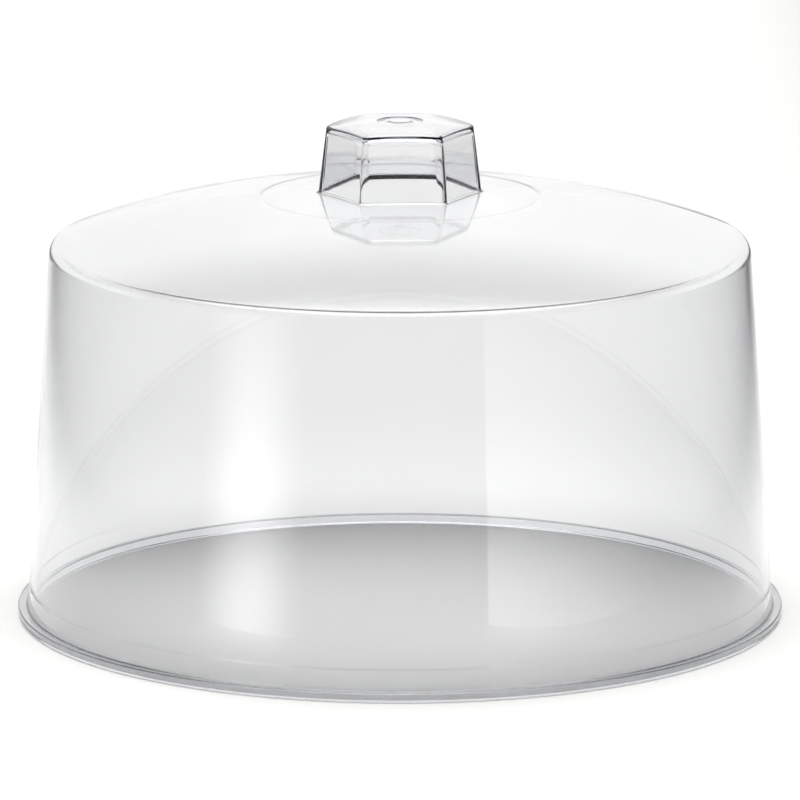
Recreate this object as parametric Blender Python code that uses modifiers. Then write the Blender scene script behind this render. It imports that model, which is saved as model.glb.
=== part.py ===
"""Clear cake cover: a moulded bell with a flange, and a hollow six-sided knob cemented on its crown.

Metres, +Z up. The origin is the centre of the circle that the flange stands on. Two of the knob's
corners lie on the X axis, so that two of its faces look along Y.
"""
import math

import bmesh
import bpy
from mathutils import Matrix

# Flange and wall of the bell
FLANGE_RADIUS = 0.1524
FLANGE_THICKNESS = 0.0034
FLANGE_EDGE_ROUNDING = 0.0005
SHELL_THICKNESS = 0.0020
WALL_FOOT_RADIUS = 0.1484
WALL_FOOT_ROUNDING = 0.0008

# Shoulder and crown of the bell: the wall ends where the shoulder's rounding begins, and the crown
# rises from the shoulder at a slope and flattens towards its middle
SHOULDER_RADIUS = 0.1388
SHOULDER_HEIGHT = 0.1454
SHOULDER_ROUNDING = 0.0044
CROWN_HEIGHT = 0.1700
CROWN_EDGE_SLOPE = math.radians(20)

# Knob: corner radii are centre to corner, where the knob's faces would meet sharp. The foot's is at
# the crown's height, and the top's where the domed top would meet the corner.
KNOB_FOOT_CORNER = 0.0322
KNOB_TOP_CORNER = 0.0295
KNOB_RISE = 0.0277
KNOB_TOP_DOME_RADIUS = 0.135
KNOB_EDGE_ROUNDING = 0.0016
KNOB_FOOT_WALL = 0.0024
KNOB_TOP_WALL = 0.0020
KNOB_ROOF = 0.0045
CAVITY_EDGE_ROUNDING = 0.0020
GATE_WELL_RADIUS = 0.0090
GATE_WELL_DEPTH = 0.0006
GATE_MARK_RADIUS = 0.0046
GATE_MARK_DEPTH = 0.0002

# The cement line between knob and crown
CEMENT_GAP = 0.0003

# Clear plastic: the bell's and the knob's colour, and what both share
SHELL_COLOUR = (0.93, 0.95, 0.96)
KNOB_COLOUR = (0.90, 0.93, 0.95)
PLASTIC_OPACITY = 0.35
PLASTIC_ROUGHNESS = 0.03
PLASTIC_IOR = 1.49

# How far the tools that shape the knob start below the crown and reach beyond the knob's foot
TOOL_DROP = 0.016
TOOL_MARGIN = 0.016
TOOL_OVERLAP = 0.002

# Fineness of round surfaces
TURN_STEPS = 80
WELL_STEPS = 48
CROWN_STEPS = 12
SHOULDER_STEPS = 5
ROUNDING_STEPS = 3
DOME_RINGS = 3
DOME_SECTORS = 36
MERGE_DISTANCE = 0.00001
SHARP_ANGLE = math.radians(30)

# Values that follow from the sizes above
COS_30 = math.cos(math.radians(30))
KNOB_TOP_HEIGHT = CROWN_HEIGHT + KNOB_RISE
CAVITY_TOP_HEIGHT = KNOB_TOP_HEIGHT - KNOB_ROOF
TOOL_BOTTOM = CROWN_HEIGHT - TOOL_DROP
TOOL_RADIUS = KNOB_FOOT_CORNER + TOOL_MARGIN
WALL_LEAN = math.atan2(WALL_FOOT_RADIUS - SHOULDER_RADIUS, SHOULDER_HEIGHT - FLANGE_THICKNESS)


def clear_scene():
    """Start from an empty scene."""
    for thing in list(bpy.data.objects):
        bpy.data.objects.remove(thing, do_unlink=True)


def make_collection(name):
    collection = bpy.data.collections.new(name)
    bpy.context.scene.collection.children.link(collection)
    return collection


def make_clear_plastic(name, colour):
    """Clear moulded plastic with a faint cool tint."""
    material = bpy.data.materials.new(name)
    material.use_nodes = True
    shader = material.node_tree.nodes["Principled BSDF"]
    shader.inputs["Base Color"].default_value = (*colour, 1.0)
    shader.inputs["Metallic"].default_value = 0.0
    shader.inputs["Roughness"].default_value = PLASTIC_ROUGHNESS
    shader.inputs["IOR"].default_value = PLASTIC_IOR
    shader.inputs["Alpha"].default_value = PLASTIC_OPACITY
    material.diffuse_color = (*colour, PLASTIC_OPACITY)
    return material


def move_to(thing, collection):
    """Keep an object in one collection only."""
    for owner in list(thing.users_collection):
        owner.objects.unlink(thing)
    collection.objects.link(thing)


def mark_as_cutter(thing, cutters):
    """A cutter shapes the parts and isn't one."""
    move_to(thing, cutters)
    thing.hide_render = True
    thing.display_type = "WIRE"


def arc(centre, radius, start, end, steps):
    """Points on an arc in the X-Z plane, both ends included."""
    points = []
    for step in range(steps + 1):
        angle = start + (end - start) * step / steps
        points.append((centre[0] + radius * math.cos(angle), centre[1] + radius * math.sin(angle)))
    return points


def shoulder_centre():
    """Centre of the shoulder's rounding: square to the leaning wall, one rounding inwards."""
    return (
        SHOULDER_RADIUS - SHOULDER_ROUNDING * math.cos(WALL_LEAN),
        SHOULDER_HEIGHT - SHOULDER_ROUNDING * math.sin(WALL_LEAN),
    )


def crown_edge():
    """Point where the crown's curve meets the shoulder's rounding."""
    across, up = shoulder_centre()
    return (
        across + SHOULDER_ROUNDING * math.sin(CROWN_EDGE_SLOPE),
        up + SHOULDER_ROUNDING * math.cos(CROWN_EDGE_SLOPE),
    )


def crown_point(across, inset):
    """Point of the crown at a distance from the axis, moved squarely inwards by inset.

    The crown falls with the square and the fourth power of that distance. Its drop and its slope at
    the edge give the two shares.
    """
    edge_across, edge_up = crown_edge()
    drop = CROWN_HEIGHT - edge_up
    half_rise = math.tan(CROWN_EDGE_SLOPE) * edge_across / 2
    square_share = 2 * drop - half_rise
    fourth_share = half_rise - drop
    part = (across / edge_across) ** 2
    up = CROWN_HEIGHT - square_share * part - fourth_share * part**2
    slope = (2 * square_share * part + 4 * fourth_share * part**2) / max(across, MERGE_DISTANCE)
    lean = math.atan(slope)
    return (across - inset * math.sin(lean), up - inset * math.cos(lean))


def crown_curve(reach, inset, steps):
    """Points of the crown from its middle to a distance from the axis."""
    return [crown_point(reach * step / steps, inset) for step in range(steps + 1)]


def crown_and_shoulder(inset):
    """Profile from the crown's middle to the end of the shoulder, moved inwards by inset."""
    crown = crown_curve(crown_edge()[0], inset, CROWN_STEPS)
    start = math.pi / 2 - CROWN_EDGE_SLOPE
    shoulder = arc(shoulder_centre(), SHOULDER_ROUNDING - inset, start, WALL_LEAN, SHOULDER_STEPS)
    return crown + shoulder[1:]


def bell_profile():
    """Closed outline of the bell: down the outside, round the flange and up the inside."""
    outer = crown_and_shoulder(0.0)
    foot_centre = (WALL_FOOT_RADIUS + WALL_FOOT_ROUNDING, FLANGE_THICKNESS + WALL_FOOT_ROUNDING)
    foot = arc(foot_centre, WALL_FOOT_ROUNDING, math.pi, 1.5 * math.pi, ROUNDING_STEPS)
    edge = FLANGE_EDGE_ROUNDING
    edge_radius = FLANGE_RADIUS - edge
    upper_edge = arc((edge_radius, FLANGE_THICKNESS - edge), edge, math.pi / 2, 0.0, ROUNDING_STEPS)
    lower_edge = arc((edge_radius, edge), edge, 0.0, -math.pi / 2, ROUNDING_STEPS)
    inner = crown_and_shoulder(SHELL_THICKNESS)
    inner_end = inner[-1]
    inner_foot = (inner_end[0] + inner_end[1] * math.tan(WALL_LEAN), 0.0)
    return outer + foot + upper_edge + lower_edge + [inner_foot] + inner[::-1]


def turn(name, profile, steps=TURN_STEPS):
    """Turn an open profile that starts and ends on the Z axis into a solid."""
    mesh = bpy.data.meshes.new(name)
    vertices = [(across, 0.0, up) for across, up in profile]
    edges = [(index, index + 1) for index in range(len(profile) - 1)]
    mesh.from_pydata(vertices, edges, [])
    thing = bpy.data.objects.new(name, mesh)
    screw = thing.modifiers.new("Turn", "SCREW")
    screw.axis = "Z"
    screw.angle = math.tau
    screw.steps = steps
    screw.render_steps = steps
    screw.use_merge_vertices = True
    screw.merge_threshold = MERGE_DISTANCE
    screw.use_smooth_shade = True
    return thing


def six_sided_block(name, low_corner, high_corner, low, high):
    """Tapered six-sided block with two corners on the X axis."""
    bpy.ops.mesh.primitive_cone_add(
        vertices=6,
        radius1=low_corner,
        radius2=high_corner,
        depth=high - low,
        location=(0.0, 0.0, (low + high) / 2),
        rotation=(0.0, 0.0, math.pi / 2),
    )
    block = bpy.context.active_object
    block.name = name
    return block


def round_edges(thing, rounding):
    """Round the sharp edges and leave the shallow ones between facets."""
    bevel = thing.modifiers.new("Rounded edges", "BEVEL")
    bevel.width = rounding
    bevel.segments = ROUNDING_STEPS
    bevel.limit_method = "ANGLE"
    bevel.angle_limit = SHARP_ANGLE
    bevel.use_clamp_overlap = False


def corner_at(height, foot_corner, top_corner, top_height):
    """Centre-to-corner radius at a height, on the straight line from the knob's foot to its top."""
    share = (height - CROWN_HEIGHT) / (top_height - CROWN_HEIGHT)
    return foot_corner + (top_corner - foot_corner) * share


def make_knob_cavity(cutters):
    """The hollow inside the knob, which runs on down through the crown."""
    foot_corner = KNOB_FOOT_CORNER - KNOB_FOOT_WALL / COS_30
    outer_corner = corner_at(CAVITY_TOP_HEIGHT, KNOB_FOOT_CORNER, KNOB_TOP_CORNER, KNOB_TOP_HEIGHT)
    top_corner = outer_corner - KNOB_TOP_WALL / COS_30
    low_corner = corner_at(TOOL_BOTTOM, foot_corner, top_corner, CAVITY_TOP_HEIGHT)
    cavity = six_sided_block("knob_cavity_cutter", low_corner, top_corner, TOOL_BOTTOM, CAVITY_TOP_HEIGHT)
    round_edges(cavity, CAVITY_EDGE_ROUNDING)
    mark_as_cutter(cavity, cutters)
    return cavity


def make_crown_form(cutters):
    """Solid with the crown's own curve on top, one cement line higher, that shapes the knob's foot."""
    curve = crown_curve(TOOL_RADIUS, -CEMENT_GAP, CROWN_STEPS // 2)
    bottom = TOOL_BOTTOM - TOOL_OVERLAP
    form = turn("crown_form_cutter", curve + [(TOOL_RADIUS, bottom), (0.0, bottom)])
    mark_as_cutter(form, cutters)
    return form


def make_gate_well(cutters):
    """Shallow round well in the knob's top, with the mark of the moulding gate in its middle."""
    floor = KNOB_TOP_HEIGHT - GATE_WELL_DEPTH
    mark = KNOB_TOP_HEIGHT - GATE_MARK_DEPTH
    above = KNOB_TOP_HEIGHT + GATE_WELL_DEPTH
    profile = [
        (0.0, above),
        (GATE_WELL_RADIUS, above),
        (GATE_WELL_RADIUS, floor),
        (GATE_MARK_RADIUS, floor),
        (GATE_MARK_RADIUS, mark),
        (0.0, mark),
    ]
    well = turn("gate_well_cutter", profile, WELL_STEPS)
    mark_as_cutter(well, cutters)
    return well


def make_knob_block():
    """Six-sided block with rounded edges, a shallow domed top and sides that lean in towards it."""
    low = TOOL_BOTTOM
    depth = KNOB_TOP_HEIGHT - low
    foot_corner = corner_at(low, KNOB_FOOT_CORNER, KNOB_TOP_CORNER, KNOB_TOP_HEIGHT)
    shape = bmesh.new()
    place = Matrix.Translation((0.0, 0.0, low + depth / 2)) @ Matrix.Rotation(math.pi / 2, 4, "Z")
    bmesh.ops.create_cone(
        shape, cap_ends=True, segments=6, radius1=foot_corner, radius2=foot_corner, depth=depth, matrix=place
    )
    middle = low + depth / 2
    upper_edges = [edge for edge in shape.edges if max(vertex.co.z for vertex in edge.verts) > middle]
    bmesh.ops.bevel(
        shape, geom=upper_edges, offset=KNOB_EDGE_ROUNDING, segments=ROUNDING_STEPS, profile=0.5, affect="EDGES"
    )
    add_dome_rings(shape)
    dome_and_taper(shape, low, foot_corner)
    mesh = bpy.data.meshes.new("knob")
    shape.to_mesh(mesh)
    shape.free()
    mesh.shade_smooth()
    mesh.set_sharp_from_angle(angle=SHARP_ANGLE)
    return bpy.data.objects.new("knob", mesh)


def add_dome_rings(shape):
    """Divide the block into rings on its top and sectors all round, so that the top can be domed."""
    shape.faces.ensure_lookup_table()
    top = max(shape.faces, key=lambda face: face.calc_center_median().z)
    ring_width = KNOB_TOP_CORNER * COS_30 / (DOME_RINGS + 1)
    for _ in range(DOME_RINGS):
        bmesh.ops.inset_individual(shape, faces=[top], thickness=ring_width)
    for sector in range(DOME_SECTORS // 2):
        angle = math.tau * sector / DOME_SECTORS
        everything = shape.verts[:] + shape.edges[:] + shape.faces[:]
        direction = (math.sin(angle), math.cos(angle), 0.0)
        bmesh.ops.bisect_plane(shape, geom=everything, dist=MERGE_DISTANCE, plane_co=(0, 0, 0), plane_no=direction)


def dome_and_taper(shape, low, foot_corner):
    """Lower the top by the dome's curve, then draw every level in towards the axis."""
    for vertex in shape.verts:
        across = math.hypot(vertex.co.x, vertex.co.y) * KNOB_TOP_CORNER / foot_corner
        if vertex.co.z > KNOB_TOP_HEIGHT - 2 * KNOB_EDGE_ROUNDING:
            vertex.co.z -= across**2 / (2 * KNOB_TOP_DOME_RADIUS)
        share = (vertex.co.z - low) / (KNOB_TOP_HEIGHT - low)
        scale = 1 + (KNOB_TOP_CORNER / foot_corner - 1) * share
        vertex.co.x *= scale
        vertex.co.y *= scale


def cut(thing, cutter):
    """Take one solid away from another."""
    boolean = thing.modifiers.new("Cut " + cutter.name, "BOOLEAN")
    boolean.operation = "DIFFERENCE"
    boolean.solver = "EXACT"
    boolean.object = cutter


def make_cover_shell(parts, cavity):
    """The bell, with the knob's six-sided opening through the middle of its crown."""
    shell = turn("cover_shell", bell_profile())
    parts.objects.link(shell)
    cut(shell, cavity)
    shell.data.materials.append(make_clear_plastic("clear_cover", SHELL_COLOUR))
    return shell


def make_knob(parts, cavity, crown_form, gate_well):
    """The hollow knob, standing on the crown round the opening."""
    knob = make_knob_block()
    parts.objects.link(knob)
    cut(knob, cavity)
    cut(knob, crown_form)
    cut(knob, gate_well)
    knob.data.materials.append(make_clear_plastic("clear_knob", KNOB_COLOUR))
    return knob


def main():
    clear_scene()
    parts = make_collection("cake_stand_dome")
    cutters = make_collection("cutters")
    cavity = make_knob_cavity(cutters)
    crown_form = make_crown_form(cutters)
    gate_well = make_gate_well(cutters)
    shell = make_cover_shell(parts, cavity)
    knob = make_knob(parts, cavity, crown_form, gate_well)
    centre = bpy.data.objects.new("cake_stand_dome_centre", None)
    parts.objects.link(centre)
    shell.parent = centre
    knob.parent = centre


main()
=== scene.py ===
"""Clear moulded cake cover: the visible bell and knob, a pale studio floor, soft lights and a camera."""
import math

import bmesh
import bpy
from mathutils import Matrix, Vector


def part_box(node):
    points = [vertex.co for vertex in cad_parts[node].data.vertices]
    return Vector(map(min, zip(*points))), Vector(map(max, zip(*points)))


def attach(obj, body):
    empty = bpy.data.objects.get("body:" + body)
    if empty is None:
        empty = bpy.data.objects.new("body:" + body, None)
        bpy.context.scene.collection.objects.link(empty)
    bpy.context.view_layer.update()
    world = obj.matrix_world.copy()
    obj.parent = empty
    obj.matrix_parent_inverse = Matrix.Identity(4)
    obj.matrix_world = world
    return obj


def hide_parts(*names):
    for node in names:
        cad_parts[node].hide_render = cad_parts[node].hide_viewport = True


bl_info = {
    "name": "Clear Cake Cover",
    "version": (1, 0, 0),
    "blender": (4, 5, 0),
    "location": "3D View > Sidebar > Cake Cover",
    "description": "Builds a clear moulded cake cover with a hollow six-sided knob, and a studio for it",
    "category": "Add Mesh",
}

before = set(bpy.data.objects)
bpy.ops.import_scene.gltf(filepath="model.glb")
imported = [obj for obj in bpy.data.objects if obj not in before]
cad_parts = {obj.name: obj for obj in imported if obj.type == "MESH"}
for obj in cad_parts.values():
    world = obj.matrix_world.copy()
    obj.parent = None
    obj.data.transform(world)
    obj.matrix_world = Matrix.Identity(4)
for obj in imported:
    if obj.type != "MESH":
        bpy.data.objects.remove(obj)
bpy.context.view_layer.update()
SHELL_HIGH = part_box("cover_shell")[1]

SIDES = 6
SIDE_ANGLE = math.tau / SIDES
HALF_SIDE = SIDE_ANGLE / 2
COS_30 = math.cos(HALF_SIDE)

# Fineness of the meshes: points on each of the six sides, how far they crowd towards the corners, rings
BELL_STEPS = 72
BELL_CROWDING = 0.4
KNOB_STEPS = 72
KNOB_CROWDING = 0.75
CROWN_STEPS = 24
INNER_CROWN_STEPS = 4
SHOULDER_STEPS = 10
ROUND_STEPS = 5
EDGE_STEPS = 7
BLEND_STEPS = 8
TOP_STEPS = 8
WALL_SHARES = (0.03, 0.5, 0.97)
SHARP_ANGLE = math.radians(40)

# Points this close to a bend hold smooth shading there, on stretches that are this many times longer
HOLD_GAP = 0.00025
HOLD_FROM = 8

# Where the crown's rings have passed from six-sided to round, and the play of the opening in the knob
CROWN_ROUND_FROM = 0.045
OPENING_PLAY = 0.00003

# Cross-sections of fine features: distance from the line, wall or step, and share of its full depth
INSERT_LINE = ((-0.0005, 0.0), (-0.0002, 0.5), (0.0, 1.0), (0.0002, 0.5), (0.0005, 0.0))
PARTING_STEP = ((0.0, 0.0), (0.0002, 0.25), (0.0004, 0.75), (0.0006, 1.0))
WELL_ROUNDING = 0.0003
WELL_WALL = ((0.0002, 0.0), (0.0, 0.15), (-0.0003, 0.85), (-0.0006, 1.0))
MARK_WALL = ((0.0005, 1.0), (0.0002, 0.9), (0.0, 0.45), (-0.0002, 0.35), (-0.0008, 0.35))

# Height below the knob's top where its sides end and the rounded edge starts
KNOB_EDGE_DROP = 0.003

# Plastic: the mould's shallow waves, and the haze that handling leaves
WAVE_LENGTH = 0.035
WAVE_HEIGHT = 0.00002
SMEAR_SIZE = 0.03
POLISH = 0.0
SMEAR_HAZE = 0.04
SMEAR_SPREAD = (0.45, 0.75)

# Floor: white under and behind the object. Grey painted shade dims it towards the camera and to the sides,
# and a little further behind, in place of light falling off
FLOOR_REACH = 4.0
FLOOR_CELLS = 8
FLOOR_GAP = 0.0003
PAINT_TOOTH = 0.002
TOOTH_HEIGHT = 0.0001
FLOOR_WHITE_FROM = -0.34
FLOOR_DIM_FROM = -0.80
FLOOR_MIDDLE = -0.05
FLOOR_SIDE_WHITE = 0.22
FLOOR_SIDE_DIM = 0.50
FLOOR_BACK = (0.05, 0.40)
FLOOR_BACK_SHARE = 0.84

# Room: ranges of the direction's Y and Z over which its light changes, and how strong it is
BACKDROP_GLOW = 1.1
BACKDROP_SIDES = (-0.20, 0.40)
BACKDROP_TOP = (0.42, 0.75)
CEILING_GLOW = 3.25
CEILING_EDGE = (0.68, 0.95)
ROOM_DARK = 0.05
ROOM_DIM = 0.12
ROOM_SIDES = (-1.0, 0.3)

# Camera, and how many surfaces light may pass
SENSOR_WIDTH = 36.0
CLIP_END = 50.0
LIGHT_BOUNCES = 32

# Soft lights: name, azimuth from the camera's side in degrees, distance from the axis, height, width,
# tall, power, and the shares of the width where the glow starts, is full, starts to fade and ends
PANEL_FADE = (0.0, 0.8)
PANEL_TOP_SHARE = 0.1
LIGHT_PANELS = (
    ("left_softbox", -39.9, 0.332, 0.12, 0.185, 0.24, 0.66, (0.0, 0.5, 0.5, 1.0)),
    ("right_panel", 51.2, 0.334, 0.12, 0.422, 0.24, 0.72, (0.0, 0.02, 0.04, 0.8)),
)


# Sizes and colours that a user would change

def length(name, description, default):
    """A length in metres for the sidebar."""
    return bpy.props.FloatProperty(
        name=name, description=description, default=default, unit="LENGTH", precision=5)


def angle(name, description, degrees):
    """An angle for the sidebar, given in degrees and kept in radians."""
    return bpy.props.FloatProperty(
        name=name, description=description, default=math.radians(degrees), unit="ROTATION", subtype="ANGLE")


def amount(name, description, default):
    """A plain number for the sidebar."""
    return bpy.props.FloatProperty(name=name, description=description, default=default, precision=4)


def hex_colour(name, description, default):
    """An sRGB colour for the sidebar, written as a hex code."""
    return bpy.props.StringProperty(name=name, description=description, default=default)


class CoverSizes(bpy.types.PropertyGroup):
    """Sizes of the moulded bell"""

    flange_radius: length("Flange radius", "Axis to the flange's outer edge", SHELL_HIGH.x)
    flange_thickness: length("Flange thickness", "Height of the flange's edge", 0.0034)
    flange_rounding: length("Flange rounding", "Rounding of the flange's two edges", 0.0005)
    wall_thickness: length("Wall thickness", "Thickness of the moulded wall and crown", 0.0020)
    wall_foot_radius: length("Wall foot radius", "Axis to the outside of the wall, at the flange", 0.1484)
    wall_foot_rounding: length("Wall foot rounding", "Hollow between wall and flange", 0.0008)
    shoulder_radius: length("Shoulder radius", "Axis to the outside of the wall, at its top", 0.1388)
    shoulder_height: length("Shoulder height", "Where the shoulder's rounding begins", 0.1454)
    shoulder_rounding: length("Shoulder rounding", "Outer rounding between wall and crown", 0.0044)
    crown_height: length("Crown height", "Height that the crown's curve would reach on the axis", 0.1700)
    crown_edge_slope: angle("Crown edge slope", "How steeply the crown leaves the shoulder", 20.0)
    parting_height: length("Parting height", "Height of the mould's parting step on the wall", 0.0120)
    parting_step: length("Parting step", "How far the wall stands out below the parting step", 0.00008)
    insert_radius: length("Insert radius", "Radius of the mould insert's fine line on the crown", 0.0549)
    insert_groove: length("Insert groove", "Depth of that line", 0.00002)
    opening_rounding: length("Opening rounding", "Rounding of the opening's lower edge", 0.0019)


class KnobSizes(bpy.types.PropertyGroup):
    """Sizes of the hollow knob"""

    foot_corner: length("Foot corner", "Axis to a sharp corner, at the crown's height", 0.0327)
    top_corner: length("Top corner", "Axis to a sharp corner, at the top", 0.0293)
    top_height: length("Top height", "Highest point of the domed top", 0.1977)
    top_dome: length("Top dome", "Radius of the domed top's curve", 0.190)
    edge_rounding: length("Edge rounding", "Rounding of the top edge", 0.0008)
    corner_rounding: length("Corner rounding", "Rounding of the upright corners", 0.0040)
    foot_wall: length("Foot wall", "Wall thickness at the foot", 0.0024)
    top_wall: length("Top wall", "Wall thickness at the roof", 0.0012)
    roof: length("Roof", "Thickness of the domed roof", 0.0018)
    hollow_rounding: length("Hollow rounding", "Rounding of the hollow's upright corners", 0.0030)
    hollow_roof_rounding: length("Hollow roof rounding", "Rounding between hollow and roof", 0.0030)
    well_radius: length("Gate well radius", "Radius of the shallow round well in the top", 0.0090)
    well_depth: length("Gate well depth", "Depth of that well", 0.0003)
    mark_radius: length("Gate mark radius", "Radius of the moulding gate's mark", 0.0046)
    foot_fillet: length("Foot fillet", "Fillet where the knob's sides run out on the crown", 0.0010)
    bond: length("Bond", "How far knob and crown run into each other at the cement line", 0.00005)


class PlasticFinish(bpy.types.PropertyGroup):
    """Colours and clearness of the plastic"""

    body: hex_colour("Body", "Colour of the clear plastic seen straight through", "#FFFFFF")
    depth: hex_colour("Depth", "Colour that long ways through the plastic take", "#BFC2CC")
    density: amount("Density", "How fast that colour builds up, per metre", 68.0)
    ior: amount("IOR", "Index of refraction", 1.57)


class StudioSettings(bpy.types.PropertyGroup):
    """Floor, room and camera"""

    floor: hex_colour("Floor", "Colour of the floor", "#FAFAF8")
    # painted shade: the grey that the floor turns to away from the object stands in for light falling off
    # there
    painted_shade_floor: hex_colour("Far floor", "Colour of the floor away from the object", "#606060")
    room: hex_colour("Room", "Colour of the room's soft light", "#FFFFFF")
    camera_distance: length("Camera distance", "Camera to the point it looks at", 3.048)
    camera_turn: angle("Camera turn", "Camera's angle off the middle of a knob face", -2.5)
    camera_rise: angle("Camera rise", "Camera's height angle over that point", 12.31)
    target_height: length("Target height", "Height of the point that the camera looks at", 0.0847)
    lens: amount("Lens", "Focal length in millimetres", 345.23)


# Small tools

def linear(code):
    """An sRGB hex colour as the linear colour that a shader takes."""
    channels = [int(code[start:start + 2], 16) / 255 for start in (1, 3, 5)]
    return [c / 12.92 if c <= 0.04045 else ((c + 0.055) / 1.055) ** 2.4 for c in channels] + [1.0]


def add_node(tree, kind, settings=None, values=None, links=None):
    """Add a node, set its settings and its sockets' values, and link other nodes' outputs to it."""
    node = tree.nodes.new(kind)
    for setting, value in (settings or {}).items():
        setattr(node, setting, value)
    for socket, value in (values or {}).items():
        node.inputs[socket].default_value = value
    for socket, output in (links or {}).items():
        tree.links.new(output, node.inputs[socket])
    return node


def new_material(name):
    """A material with an empty node tree, its output node and that tree."""
    material = bpy.data.materials.new(name)
    material.use_nodes = True
    material.node_tree.nodes.clear()
    output = material.node_tree.nodes.new("ShaderNodeOutputMaterial")
    return material, material.node_tree, output


def arc(centre, radius, start, end, steps):
    """Points on an arc, both ends included, as (across, up)."""
    angles = [start + (end - start) * step / steps for step in range(steps + 1)]
    return [(centre[0] + radius * math.cos(a), centre[1] + radius * math.sin(a)) for a in angles]


# Plan outlines: one radius for each direction round the axis

def directions_round(per_side, crowding):
    """Angles round the axis, closer together near the six corners. Corners lie on both ends of X."""
    angles = []
    for corner in range(SIDES):
        for step in range(-per_side // 2, per_side // 2):
            share = step / (per_side / 2)
            angles.append(corner * SIDE_ANGLE + HALF_SIDE * share * (1 - crowding + crowding * share * share))
    return angles


def six_sided(direction, corner, rounding):
    """Radius of a rounded hexagon in one direction. corner is where its sides would meet sharp."""
    off_corner = abs((direction + HALF_SIDE) % SIDE_ANGLE - HALF_SIDE)
    centre = corner - rounding / COS_30
    arc_end = math.atan2(rounding * math.sin(HALF_SIDE), centre + rounding * COS_30)
    if off_corner >= arc_end:
        return corner * COS_30 / math.cos(HALF_SIDE - off_corner)
    across = centre * math.sin(off_corner)
    return centre * math.cos(off_corner) + math.sqrt(rounding * rounding - across * across)


# Meshes from rings

def skin_rings(name, directions, rings, closed):
    """A mesh skinned over rings of (radius, height) points. A ring of one point is an end on the axis."""
    shape = bmesh.new()
    loops = []
    for ring in rings:
        if len(ring) == 1:
            loops.append([shape.verts.new((0.0, 0.0, ring[0][1]))])
        else:
            loops.append([
                shape.verts.new((radius * math.cos(angle), radius * math.sin(angle), up))
                for angle, (radius, up) in zip(directions, ring)
            ])
    pairs = list(zip(loops, loops[1:]))
    if closed:
        pairs.append((loops[-1], loops[0]))
    count = len(directions)
    for first, second in pairs:
        for index in range(count):
            after = (index + 1) % count
            corners = [first[index % len(first)], first[after % len(first)],
                       second[after % len(second)], second[index % len(second)]]
            # at an end on the axis two corners are one, and the face has three
            shape.faces.new(list(dict.fromkeys(corners)))
    bmesh.ops.recalc_face_normals(shape, faces=shape.faces)
    mesh = bpy.data.meshes.new(name)
    shape.to_mesh(mesh)
    shape.free()
    mesh.shade_smooth()
    mesh.set_sharp_from_angle(angle=SHARP_ANGLE)
    piece = bpy.data.objects.new(name, mesh)
    bpy.context.scene.collection.objects.link(piece)
    return piece


def hold_edges(profile):
    """Add a point close to both ends of each long stretch, so that smooth shading stays at the bends."""
    held = [profile[0]]
    for (x0, z0), (x1, z1) in zip(profile, profile[1:]):
        size = math.hypot(x1 - x0, z1 - z0)
        if size > HOLD_FROM * HOLD_GAP:
            share = HOLD_GAP / size
            held.append((x0 + (x1 - x0) * share, z0 + (z1 - z0) * share))
            held.append((x1 - (x1 - x0) * share, z1 - (z1 - z0) * share))
        held.append((x1, z1))
    return held


def quarter_turn(steps, first=1):
    """Angles of a rounding that turns through a right angle."""
    return [math.pi / 2 * step / steps for step in range(first, steps + 1)]


# The bell

def wall_lean(sizes):
    """How far the wall leans in from upright."""
    rise = sizes.shoulder_height - sizes.flange_thickness
    return math.atan2(sizes.wall_foot_radius - sizes.shoulder_radius, rise)


def wall_point(sizes, up, inset=0.0):
    """Point on the straight wall at a height, moved squarely inwards by inset."""
    lean = wall_lean(sizes)
    across = sizes.shoulder_radius + (sizes.shoulder_height - up) * math.tan(lean)
    return (across - inset / math.cos(lean), up)


def shoulder_centre(sizes):
    """Centre of the shoulder's rounding, as (across, up)."""
    lean = wall_lean(sizes)
    return (sizes.shoulder_radius - sizes.shoulder_rounding * math.cos(lean),
            sizes.shoulder_height - sizes.shoulder_rounding * math.sin(lean))


def crown_edge(sizes):
    """Point where the crown's curve meets the shoulder's rounding."""
    across, up = shoulder_centre(sizes)
    return (across + sizes.shoulder_rounding * math.sin(sizes.crown_edge_slope),
            up + sizes.shoulder_rounding * math.cos(sizes.crown_edge_slope))


def crown_point(sizes, distance, inset=0.0):
    """Point of the crown at a distance from the axis, moved squarely inwards by inset.

    The crown falls with the square and the fourth power of that distance.
    """
    edge_across, edge_up = crown_edge(sizes)
    drop = sizes.crown_height - edge_up
    half_rise = math.tan(sizes.crown_edge_slope) * edge_across / 2
    square_share = 2 * drop - half_rise
    fourth_share = half_rise - drop
    part = (distance / edge_across) ** 2
    height = sizes.crown_height - square_share * part - fourth_share * part**2
    slope = (2 * square_share + 4 * fourth_share * part) * distance / edge_across**2
    tilt = math.atan(slope)
    return (distance - inset * math.sin(tilt), height - inset * math.cos(tilt))


def crown_outside(sizes):
    """Points down the crown's outside, from where its rings are round, with the insert's fine line."""
    line = sizes.insert_radius
    start = line + INSERT_LINE[0][0]
    end = line + INSERT_LINE[-1][0]
    edge = crown_edge(sizes)[0]
    points = []
    for step in range(INNER_CROWN_STEPS):
        share = step / INNER_CROWN_STEPS
        points.append(crown_point(sizes, CROWN_ROUND_FROM + (start - CROWN_ROUND_FROM) * share))
    for off, depth in INSERT_LINE:
        points.append(crown_point(sizes, line + off, depth * sizes.insert_groove))
    for step in range(1, CROWN_STEPS + 1):
        points.append(crown_point(sizes, end + (edge - end) * step / CROWN_STEPS))
    return points


def crown_inside(sizes):
    """Points up the crown's inside, from the shoulder to where its rings stop being round."""
    edge = crown_edge(sizes)[0]
    distances = [edge + (CROWN_ROUND_FROM - edge) * step / CROWN_STEPS for step in range(1, CROWN_STEPS)]
    return [crown_point(sizes, distance, sizes.wall_thickness) for distance in distances]


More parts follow.
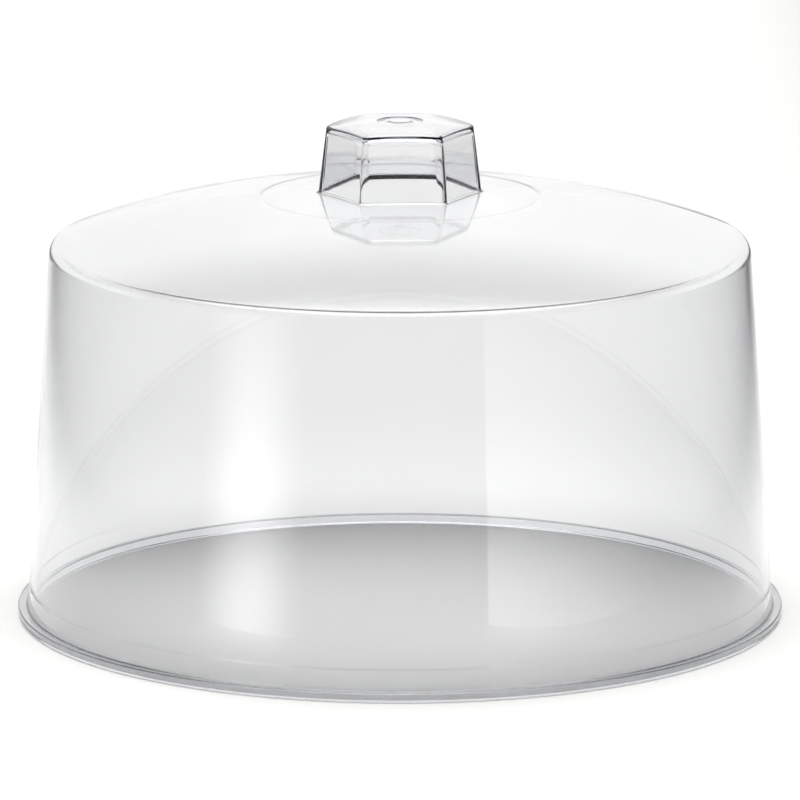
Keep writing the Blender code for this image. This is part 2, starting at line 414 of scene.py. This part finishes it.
def wall_and_flange(sizes):
    """Points down the outside from the shoulder, round the flange and up the inside to the shoulder."""
    lean = wall_lean(sizes)
    start = math.pi / 2 - sizes.crown_edge_slope
    centre = shoulder_centre(sizes)
    shoulder = arc(centre, sizes.shoulder_rounding, start, lean, SHOULDER_STEPS)[1:]
    parting = [wall_point(sizes, sizes.parting_height - drop, -share * sizes.parting_step)
               for drop, share in PARTING_STEP]
    fillet = sizes.wall_foot_rounding
    foot_centre = (sizes.wall_foot_radius + fillet, sizes.flange_thickness + fillet)
    foot = arc(foot_centre, fillet, math.pi, 1.5 * math.pi, ROUND_STEPS)
    edge = sizes.flange_rounding
    rim = sizes.flange_radius - edge
    upper_rim = arc((rim, sizes.flange_thickness - edge), edge, math.pi / 2, 0, ROUND_STEPS)
    lower_rim = arc((rim, edge), edge, 0, -math.pi / 2, ROUND_STEPS)
    inner_foot = wall_point(sizes, 0.0, sizes.wall_thickness)
    inner_rounding = sizes.shoulder_rounding - sizes.wall_thickness
    inner_shoulder = arc(centre, inner_rounding, lean, start, SHOULDER_STEPS)
    return hold_edges(shoulder + parting + foot + upper_rim + lower_rim + [inner_foot] + inner_shoulder)


def opening_outline(sizes, knob, directions, up, outwards):
    """Radii of the opening under the knob at a height, widened by outwards."""
    corner = hollow_corner(sizes, knob, up) + outwards / COS_30
    return [six_sided(angle, corner, knob.hollow_rounding + outwards) for angle in directions]


def blended_rings(sizes, outline, inset=0.0):
    """Rings on the crown that pass from a six-sided outline to a circle."""
    rings = []
    for step in range(BLEND_STEPS):
        share = step / BLEND_STEPS
        distances = [radius + (CROWN_ROUND_FROM - radius) * share for radius in outline]
        rings.append([crown_point(sizes, distance, inset) for distance in distances])
    return rings


def make_bell(sizes, knob):
    """The moulded bell with its flange, and the six-sided opening under the knob."""
    directions = directions_round(BELL_STEPS, BELL_CROWDING)
    thick = sizes.wall_thickness
    crown_up = crown_point(sizes, knob.foot_corner)[1]
    rings = blended_rings(sizes, opening_outline(sizes, knob, directions, crown_up, OPENING_PLAY))
    round_points = crown_outside(sizes) + wall_and_flange(sizes) + crown_inside(sizes)
    rings += [[point] * len(directions) for point in round_points]
    # inside of the crown, back to the opening and up its rounded lower edge
    rounding = sizes.opening_rounding
    lower_up = crown_up - thick
    lower_edge = opening_outline(sizes, knob, directions, lower_up, rounding)
    rings += blended_rings(sizes, lower_edge, thick)[::-1]
    for turned in quarter_turn(ROUND_STEPS):
        outwards = rounding * (1 - math.sin(turned))
        raised = rounding * (1 - math.cos(turned))
        outline = opening_outline(sizes, knob, directions, lower_up + raised, outwards)
        rings.append([(radius, crown_point(sizes, radius, thick)[1] + raised) for radius in outline])
    return skin_rings("cover_shell_moulded", directions, rings, closed=True)


# The knob

def outer_corner(sizes, knob, up):
    """Corner of the knob's outside at a height, on the straight line from its foot to its top."""
    share = (up - sizes.crown_height) / (knob.top_height - sizes.crown_height)
    return knob.foot_corner + (knob.top_corner - knob.foot_corner) * share


def hollow_corner(sizes, knob, up):
    """Corner of the hollow at a height: the outer corner less the wall, which is thicker at the foot."""
    share = (up - sizes.crown_height) / (knob.top_height - sizes.crown_height)
    wall = knob.foot_wall + (knob.top_wall - knob.foot_wall) * share
    return outer_corner(sizes, knob, up) - wall / COS_30


def knob_dome(knob, radius, sink=0.0):
    """Height of the domed top at a radius, or of the surface that lies sink below it."""
    return knob.top_height - radius * radius / (2 * knob.top_dome) - sink


def hollow_rings(sizes, knob, directions):
    """Rings from the middle of the roof's underside, round its bend and down the hollow's walls."""
    rounding = knob.hollow_rounding
    bend = knob.hollow_roof_rounding
    roof_corner = hollow_corner(sizes, knob, knob.top_height - knob.roof)
    roof_edge = [six_sided(angle, roof_corner - bend / COS_30, rounding) for angle in directions]
    rings = [[(0.0, knob_dome(knob, 0.0, knob.roof))]]
    for step in range(1, TOP_STEPS + 1):
        radii = [radius * step / TOP_STEPS for radius in roof_edge]
        rings.append([(radius, knob_dome(knob, radius, knob.roof)) for radius in radii])
    for turned in quarter_turn(ROUND_STEPS):
        ring = []
        for angle, edge in zip(directions, roof_edge):
            up = knob_dome(knob, edge, knob.roof) - bend * (1 - math.cos(turned))
            corner = hollow_corner(sizes, knob, up) - bend * (1 - math.sin(turned)) / COS_30
            ring.append((six_sided(angle, corner, rounding), up))
        rings.append(ring)
    crown_up = crown_point(sizes, knob.foot_corner)[1]
    for share in WALL_SHARES:
        ring = []
        for angle, edge in zip(directions, roof_edge):
            high = knob_dome(knob, edge, knob.roof) - bend
            up = high + (crown_up - high) * share
            ring.append((six_sided(angle, hollow_corner(sizes, knob, up), rounding), up))
        rings.append(ring)
    return rings


def foot_rings(sizes, knob, directions):
    """Rings across the foot on the crown, and up the small fillet of cement that runs out there."""
    crown_up = crown_point(sizes, knob.foot_corner)[1]
    fillet = knob.foot_fillet
    inside = hollow_corner(sizes, knob, crown_up)
    spread = outer_corner(sizes, knob, crown_up) + fillet / COS_30
    rings = []
    for corner, rounding in ((inside, knob.hollow_rounding), (spread, knob.corner_rounding + fillet)):
        outline = [six_sided(angle, corner, rounding) for angle in directions]
        rings.append([(radius, crown_point(sizes, radius)[1] - knob.bond) for radius in outline])
    for turned in quarter_turn(ROUND_STEPS, first=0):
        out = fillet * (1 - math.sin(turned))
        lift = fillet * (1 - math.cos(turned))
        corner = outer_corner(sizes, knob, crown_up + lift) + out / COS_30
        outline = [six_sided(angle, corner, knob.corner_rounding + out) for angle in directions]
        rings.append([(radius, crown_point(sizes, radius)[1] + lift) for radius in outline])
    return rings


def side_rings(sizes, knob, directions):
    """Rings up the knob's sides and over the rounded edge of its top."""
    rounding = knob.corner_rounding
    bend = knob.edge_rounding
    low = crown_point(sizes, knob.foot_corner)[1] + knob.foot_fillet
    top_corner = outer_corner(sizes, knob, knob.top_height - KNOB_EDGE_DROP)
    top_edge = [six_sided(angle, top_corner - bend / COS_30, rounding) for angle in directions]
    rings = []
    for share in (*WALL_SHARES, 1.0):
        ring = []
        for angle, top_radius in zip(directions, top_edge):
            up = low + (knob_dome(knob, top_radius) - bend - low) * share
            ring.append((six_sided(angle, outer_corner(sizes, knob, up), rounding), up))
        rings.append(ring)
    for turned in quarter_turn(EDGE_STEPS):
        ring = []
        for angle, top_radius in zip(directions, top_edge):
            up = knob_dome(knob, top_radius) - bend * (1 - math.sin(turned))
            corner = outer_corner(sizes, knob, up) - bend * (1 - math.cos(turned)) / COS_30
            ring.append((six_sided(angle, corner, rounding), up))
        rings.append(ring)
    return rings


def top_rings(knob, edge_ring):
    """Rings from the top's edge over the dome, down into the gate well and over the gate's mark."""
    well_edge = knob.well_radius + WELL_ROUNDING
    rings = []
    for step in range(1, TOP_STEPS + 1):
        share = step / TOP_STEPS
        radii = [radius + (well_edge - radius) * share for radius, _ in edge_ring]
        rings.append([(radius, knob_dome(knob, radius)) for radius in radii])
    section = [(knob.well_radius + off, share) for off, share in WELL_WALL]
    section += [(knob.mark_radius + off, share) for off, share in MARK_WALL]
    mark_share = MARK_WALL[-1][1]
    section.append((knob.mark_radius / 2, mark_share))
    for radius, share in section:
        rings.append([(radius, knob_dome(knob, radius, share * knob.well_depth))] * len(edge_ring))
    rings.append([(0.0, knob_dome(knob, 0.0, mark_share * knob.well_depth))])
    return rings


def make_knob(sizes, knob):
    """The hollow knob, from the middle of its roof's underside round its foot to the middle of its top."""
    directions = directions_round(KNOB_STEPS, KNOB_CROWDING)
    rings = hollow_rings(sizes, knob, directions) + foot_rings(sizes, knob, directions)
    rings += side_rings(sizes, knob, directions)
    rings += top_rings(knob, rings[-1])
    return skin_rings("knob_moulded", directions, rings, closed=False)


# Materials

def moulded_clear_plastic(name, finish):
    """Clear styrene, injection moulded and bare: sharp reflections, a cool tint where light runs long inside.

    The mould's polish leaves broad shallow waves that bend what is seen through it a little, and handling
    leaves patches of faint haze.
    """
    material, tree, output = new_material(name)
    place = add_node(tree, "ShaderNodeTexCoord")
    waves = add_node(tree, "ShaderNodeTexNoise", {"noise_dimensions": "3D"},
                     {"Scale": 1 / WAVE_LENGTH, "Detail": 1.0, "Roughness": 0.4},
                     {"Vector": place.outputs["Object"]})
    wave_bump = add_node(tree, "ShaderNodeBump", {}, {"Strength": 1.0, "Distance": WAVE_HEIGHT},
                         {"Height": waves.outputs["Fac"]})
    smears = add_node(tree, "ShaderNodeTexNoise", {"noise_dimensions": "3D"},
                      {"Scale": 1 / SMEAR_SIZE, "Detail": 4.0, "Roughness": 0.6},
                      {"Vector": place.outputs["Object"]})
    haze = add_node(tree, "ShaderNodeMapRange", {},
                    {"From Min": SMEAR_SPREAD[0], "From Max": SMEAR_SPREAD[1],
                     "To Min": POLISH, "To Max": SMEAR_HAZE},
                    {"Value": smears.outputs["Fac"]})
    shader = add_node(
        tree, "ShaderNodeBsdfPrincipled", {},
        {"Base Color": linear(finish.body), "Transmission Weight": 1.0, "IOR": finish.ior, "Metallic": 0.0},
        {"Roughness": haze.outputs["Result"], "Normal": wave_bump.outputs["Normal"]},
    )
    depth = add_node(tree, "ShaderNodeVolumeAbsorption", {},
                     {"Color": linear(finish.depth), "Density": finish.density})
    tree.links.new(shader.outputs["BSDF"], output.inputs["Surface"])
    tree.links.new(depth.outputs["Volume"], output.inputs["Volume"])
    return material


def floor_with_painted_falloff(settings):
    """Matt painted board with a faint tooth, white round the object; its grey further off is painted shade,
    standing in for light that falls off away from the object.
    """
    material, tree, output = new_material("studio_floor_matt_paint_with_painted_shade")
    smooth = {"interpolation_type": "SMOOTHSTEP"}
    place = add_node(tree, "ShaderNodeTexCoord")
    tooth = add_node(tree, "ShaderNodeTexNoise", {}, {"Scale": 1 / PAINT_TOOTH, "Detail": 3.0},
                     {"Vector": place.outputs["Object"]})
    bump = add_node(tree, "ShaderNodeBump", {}, {"Strength": 0.3, "Distance": TOOTH_HEIGHT},
                    {"Height": tooth.outputs["Fac"]})
    parts = add_node(tree, "ShaderNodeSeparateXYZ", links={"Vector": place.outputs["Object"]})
    off_middle = add_node(tree, "ShaderNodeMath", {"operation": "SUBTRACT"}, {1: FLOOR_MIDDLE},
                          {0: parts.outputs["X"]})
    side = add_node(tree, "ShaderNodeMath", {"operation": "ABSOLUTE"}, {}, {0: off_middle.outputs["Value"]})
    # painted shade: the floor greys towards the camera and away to the sides of the middle line, in place of
    # light falling off
    front = add_node(tree, "ShaderNodeMapRange", smooth,
                     {"From Min": FLOOR_DIM_FROM, "From Max": FLOOR_WHITE_FROM},
                     {"Value": parts.outputs["Y"]})
    middle = add_node(tree, "ShaderNodeMapRange", smooth,
                      {"From Min": FLOOR_SIDE_WHITE, "From Max": FLOOR_SIDE_DIM,
                       "To Min": 1.0, "To Max": 0.0},
                      {"Value": side.outputs["Value"]})
    # painted shade: the floor also greys a little further behind the object
    back = add_node(tree, "ShaderNodeMapRange", smooth,
                    {"From Min": FLOOR_BACK[0], "From Max": FLOOR_BACK[1],
                     "To Min": 1.0, "To Max": FLOOR_BACK_SHARE},
                    {"Value": parts.outputs["Y"]})
    forward = add_node(tree, "ShaderNodeMath", {"operation": "MULTIPLY"}, {},
                       {0: front.outputs["Result"], 1: back.outputs["Result"]})
    share = add_node(tree, "ShaderNodeMath", {"operation": "MULTIPLY"}, {},
                     {0: forward.outputs["Value"], 1: middle.outputs["Result"]})
    # mix of white board and grey painted shade, by the masks above
    colour = add_node(tree, "ShaderNodeMix", {"data_type": "RGBA"},
                      {6: linear(settings.painted_shade_floor), 7: linear(settings.floor)},
                      {"Factor": share.outputs["Value"]})
    shader = add_node(tree, "ShaderNodeBsdfPrincipled", {},
                      {"Roughness": 0.9, "Specular IOR Level": 0.1},
                      {"Base Color": colour.outputs[2], "Normal": bump.outputs["Normal"]})
    tree.links.new(shader.outputs["BSDF"], output.inputs["Surface"])
    return material


# The studio

def make_floor(settings):
    """The floor that the cover stands on, turned to face the camera."""
    shape = bmesh.new()
    bmesh.ops.create_grid(shape, x_segments=FLOOR_CELLS, y_segments=FLOOR_CELLS, size=FLOOR_REACH)
    mesh = bpy.data.meshes.new("studio_floor")
    shape.to_mesh(mesh)
    shape.free()
    floor = bpy.data.objects.new("studio_floor", mesh)
    floor.location.z = -FLOOR_GAP
    floor.rotation_euler.z = settings.camera_turn
    bpy.context.scene.collection.objects.link(floor)
    mesh.materials.append(floor_with_painted_falloff(settings))


def make_room(settings):
    """Soft light from all round: a white backdrop behind, a bright ceiling and a dim camera side."""
    world = bpy.data.worlds.new("soft_white_room")
    world.use_nodes = True
    bpy.context.scene.world = world
    tree = world.node_tree
    tree.nodes.clear()
    place = add_node(tree, "ShaderNodeTexCoord")
    parts = add_node(tree, "ShaderNodeSeparateXYZ", links={"Vector": place.outputs["Generated"]})
    smooth = {"interpolation_type": "SMOOTHSTEP"}
    behind = add_node(tree, "ShaderNodeMapRange", smooth,
                      {"From Min": BACKDROP_SIDES[0], "From Max": BACKDROP_SIDES[1]},
                      {"Value": parts.outputs["Y"]})
    below = add_node(tree, "ShaderNodeMapRange", smooth,
                     {"From Min": BACKDROP_TOP[0], "From Max": BACKDROP_TOP[1],
                      "To Min": BACKDROP_GLOW, "To Max": 0.0},
                     {"Value": parts.outputs["Z"]})
    backdrop = add_node(tree, "ShaderNodeMath", {"operation": "MULTIPLY"}, {},
                        {0: behind.outputs["Result"], 1: below.outputs["Result"]})
    ceiling = add_node(tree, "ShaderNodeMapRange", smooth,
                       {"From Min": CEILING_EDGE[0], "From Max": CEILING_EDGE[1], "To Max": CEILING_GLOW},
                       {"Value": parts.outputs["Z"]})
    dim = add_node(tree, "ShaderNodeMapRange", smooth,
                   {"From Min": ROOM_SIDES[0], "From Max": ROOM_SIDES[1],
                    "To Min": ROOM_DARK, "To Max": ROOM_DIM},
                   {"Value": parts.outputs["Y"]})
    bright = add_node(tree, "ShaderNodeMath", {"operation": "MAXIMUM"}, {},
                      {0: backdrop.outputs["Value"], 1: ceiling.outputs["Result"]})
    glow = add_node(tree, "ShaderNodeMath", {"operation": "MAXIMUM"}, {},
                    {0: bright.outputs["Value"], 1: dim.outputs["Result"]})
    light = add_node(tree, "ShaderNodeBackground", {}, {"Color": linear(settings.room)},
                     {"Strength": glow.outputs["Value"]})
    output = add_node(tree, "ShaderNodeOutputWorld")
    tree.links.new(light.outputs["Background"], output.inputs["Surface"])


def soft_light(name, azimuth, distance, height, width, tall, power, across):
    """An upright soft light that stands close by and faces the object. It is brightest at its foot.

    Azimuth 0 is on the front side. The camera sees the light in the plastic's reflections and on the
    floor, but neither directly nor through the plastic.
    """
    light = bpy.data.lights.new(name, "AREA")
    light.shape = "RECTANGLE"
    light.size = width
    light.size_y = tall
    light.energy = power
    light.use_nodes = True
    tree = light.node_tree
    tree.nodes.clear()
    place = add_node(tree, "ShaderNodeNewGeometry")
    parts = add_node(tree, "ShaderNodeSeparateXYZ", links={"Vector": place.outputs["Parametric"]})
    start, full, fading, end = across
    smooth = {"interpolation_type": "SMOOTHSTEP"}
    rise = add_node(tree, "ShaderNodeMapRange", smooth, {"From Min": start, "From Max": full},
                    {"Value": parts.outputs["X"]})
    fall = add_node(tree, "ShaderNodeMapRange", smooth,
                    {"From Min": fading, "From Max": end, "To Min": 1.0, "To Max": 0.0},
                    {"Value": parts.outputs["X"]})
    upright = add_node(tree, "ShaderNodeMapRange", smooth,
                       {"From Min": PANEL_FADE[0], "From Max": PANEL_FADE[1],
                        "To Min": 1.0, "To Max": PANEL_TOP_SHARE},
                       {"Value": parts.outputs["Y"]})
    sideways = add_node(tree, "ShaderNodeMath", {"operation": "MULTIPLY"}, {},
                        {0: rise.outputs["Result"], 1: fall.outputs["Result"]})
    strength = add_node(tree, "ShaderNodeMath", {"operation": "MULTIPLY"}, {},
                        {0: sideways.outputs["Value"], 1: upright.outputs["Result"]})
    glow = add_node(tree, "ShaderNodeEmission", {}, {}, {"Strength": strength.outputs["Value"]})
    output = add_node(tree, "ShaderNodeOutputLight")
    tree.links.new(glow.outputs["Emission"], output.inputs["Surface"])
    lamp = bpy.data.objects.new(name, light)
    turn = math.radians(azimuth)
    lamp.location = (distance * math.sin(turn), -distance * math.cos(turn), height)
    lamp.rotation_euler = (math.pi / 2, 0.0, turn)
    lamp.visible_camera = False
    lamp.visible_transmission = False
    bpy.context.scene.collection.objects.link(lamp)


def make_camera(settings):
    """The camera, a little above the cover and looking down at its middle."""
    lens = bpy.data.cameras.new("studio_camera")
    lens.sensor_width = SENSOR_WIDTH
    lens.lens = settings.lens
    lens.clip_end = CLIP_END
    camera = bpy.data.objects.new("studio_camera", lens)
    rise = settings.camera_rise
    away = settings.camera_distance
    turn = settings.camera_turn
    level = away * math.cos(rise)
    up = settings.target_height + away * math.sin(rise)
    camera.location = (level * math.sin(turn), -level * math.cos(turn), up)
    camera.rotation_euler = (math.pi / 2 - rise, 0.0, turn)
    bpy.context.scene.collection.objects.link(camera)
    bpy.context.scene.camera = camera


def set_picture(scene):
    """Show colours as they are, and let light pass all the plastic's surfaces."""
    scene.view_settings.view_transform = "Standard"
    scene.cycles.max_bounces = LIGHT_BOUNCES
    scene.cycles.transmission_bounces = LIGHT_BOUNCES
    scene.cycles.glossy_bounces = LIGHT_BOUNCES // 2
    scene.cycles.caustics_reflective = True
    scene.cycles.caustics_refractive = True


# Operators and panel

class CAKECOVER_OT_shell(bpy.types.Operator):
    """Build the clear moulded bell with its flange"""

    bl_idname = "cakecover.shell"
    bl_label = "Moulded Bell"

    def execute(self, context):
        scene = context.scene
        shell = make_bell(scene.cover_sizes, scene.knob_sizes)
        shell.data.materials.append(moulded_clear_plastic("clear_styrene_moulded_bell", scene.plastic_finish))
        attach(shell, "root")
        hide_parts("cover_shell")
        return {"FINISHED"}


class CAKECOVER_OT_knob(bpy.types.Operator):
    """Build the clear hollow knob on the crown"""

    bl_idname = "cakecover.knob"
    bl_label = "Moulded Knob"

    def execute(self, context):
        scene = context.scene
        knob = make_knob(scene.cover_sizes, scene.knob_sizes)
        knob.data.materials.append(moulded_clear_plastic("clear_styrene_moulded_knob", scene.plastic_finish))
        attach(knob, "root")
        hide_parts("knob")
        return {"FINISHED"}


class CAKECOVER_OT_studio(bpy.types.Operator):
    """Set up the floor, the soft lights, the camera and the picture settings"""

    bl_idname = "cakecover.studio"
    bl_label = "Pale Studio"

    def execute(self, context):
        settings = context.scene.studio_settings
        make_floor(settings)
        make_room(settings)
        for panel in LIGHT_PANELS:
            soft_light(*panel)
        make_camera(settings)
        set_picture(context.scene)
        return {"FINISHED"}


class CAKECOVER_PT_panel(bpy.types.Panel):
    """Steps and sizes of the clear cake cover"""

    bl_idname = "CAKECOVER_PT_panel"
    bl_label = "Clear Cake Cover"
    bl_space_type = "VIEW_3D"
    bl_region_type = "UI"
    bl_category = "Cake Cover"

    def draw(self, context):
        column = self.layout.column()
        for operator in OPERATORS:
            column.operator(operator.bl_idname)
        for holder, kind in SETTINGS.items():
            box = self.layout.box()
            for setting in kind.__annotations__:
                box.prop(getattr(context.scene, holder), setting)


OPERATORS = (CAKECOVER_OT_shell, CAKECOVER_OT_knob, CAKECOVER_OT_studio)
SETTINGS = {
    "cover_sizes": CoverSizes,
    "knob_sizes": KnobSizes,
    "plastic_finish": PlasticFinish,
    "studio_settings": StudioSettings,
}


def register():
    """Make the settings, the steps and the panel known to Blender."""
    for kind in (*SETTINGS.values(), *OPERATORS, CAKECOVER_PT_panel):
        bpy.utils.register_class(kind)
    for holder, kind in SETTINGS.items():
        setattr(bpy.types.Scene, holder, bpy.props.PointerProperty(type=kind))


def unregister():
    """Take them away again."""
    for holder in SETTINGS:
        delattr(bpy.types.Scene, holder)
    for kind in reversed((*SETTINGS.values(), *OPERATORS, CAKECOVER_PT_panel)):
        bpy.utils.unregister_class(kind)


def main():
    """Build everything in its order."""
    register()
    bpy.ops.cakecover.shell()
    bpy.ops.cakecover.knob()
    bpy.ops.cakecover.studio()


if __name__ == "__main__":
    main()
